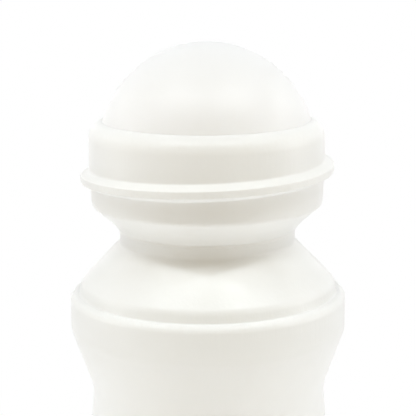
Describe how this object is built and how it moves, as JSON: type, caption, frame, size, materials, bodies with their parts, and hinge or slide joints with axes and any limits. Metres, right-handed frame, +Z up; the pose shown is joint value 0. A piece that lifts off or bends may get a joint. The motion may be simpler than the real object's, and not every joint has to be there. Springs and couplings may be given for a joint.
{
  "type": "roll-on bottle",
  "caption": "Small waisted plastic bottle with a snap-in ball housing and a free-turning hollow applicator ball, shown open with its cap off.",
  "frame": {"origin": "centre of the base, on the plane that the bottle stands on", "axes": "+Z up along the bottle's axis, through the ball's centre; the front faces -Y"},
  "size_m": [0.0456, 0.0456, 0.092],
  "materials": {
    "bottle": "blown polyethylene, satin gloss",
    "housing": "injection-moulded polypropylene, satin gloss",
    "ball": "polished polypropylene"
  },
  "bodies": {
    "bottle_body": {"bottle": "bottle", "ball_housing": "housing"},
    "ball": {"roller_ball": "ball"}
  },
  "joints": [
    {"name": "ball_roll", "type": "hinge", "parent": "bottle_body", "child": "ball", "pos_m": [0, 0, 0.0742], "axis": [1, 0, 0], "continuous": true}
  ]
}
